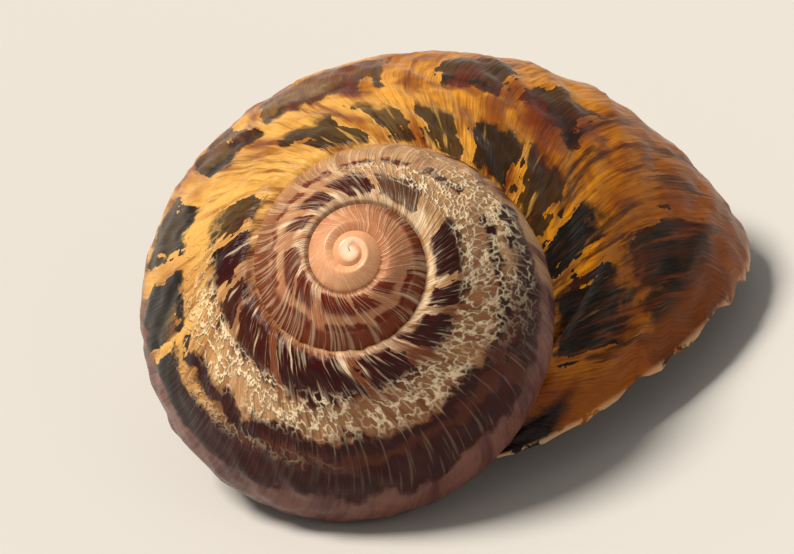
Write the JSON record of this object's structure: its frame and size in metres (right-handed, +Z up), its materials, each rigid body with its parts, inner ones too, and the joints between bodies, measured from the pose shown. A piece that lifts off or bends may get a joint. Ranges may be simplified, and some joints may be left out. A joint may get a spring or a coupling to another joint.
{
  "type": "land snail shell",
  "caption": "Empty coiled shell of a brown garden snail, low dome of right-handed whorls with a thin chipped lip, lying on its mouth.",
  "frame": {"origin": "centre of the footprint box, at the surface on which the shell rests", "axes": "+Z up from the resting surface, the apex looks out toward -Y and up, the mouth faces down"},
  "size_m": [0.0316, 0.0278, 0.0176],
  "materials": {
    "shell": "satin to glossy horn and lime, tan and ochre with dark brown bands"
  },
  "bodies": {
    "root": {"shell": "shell"}
  },
  "joints": []
}
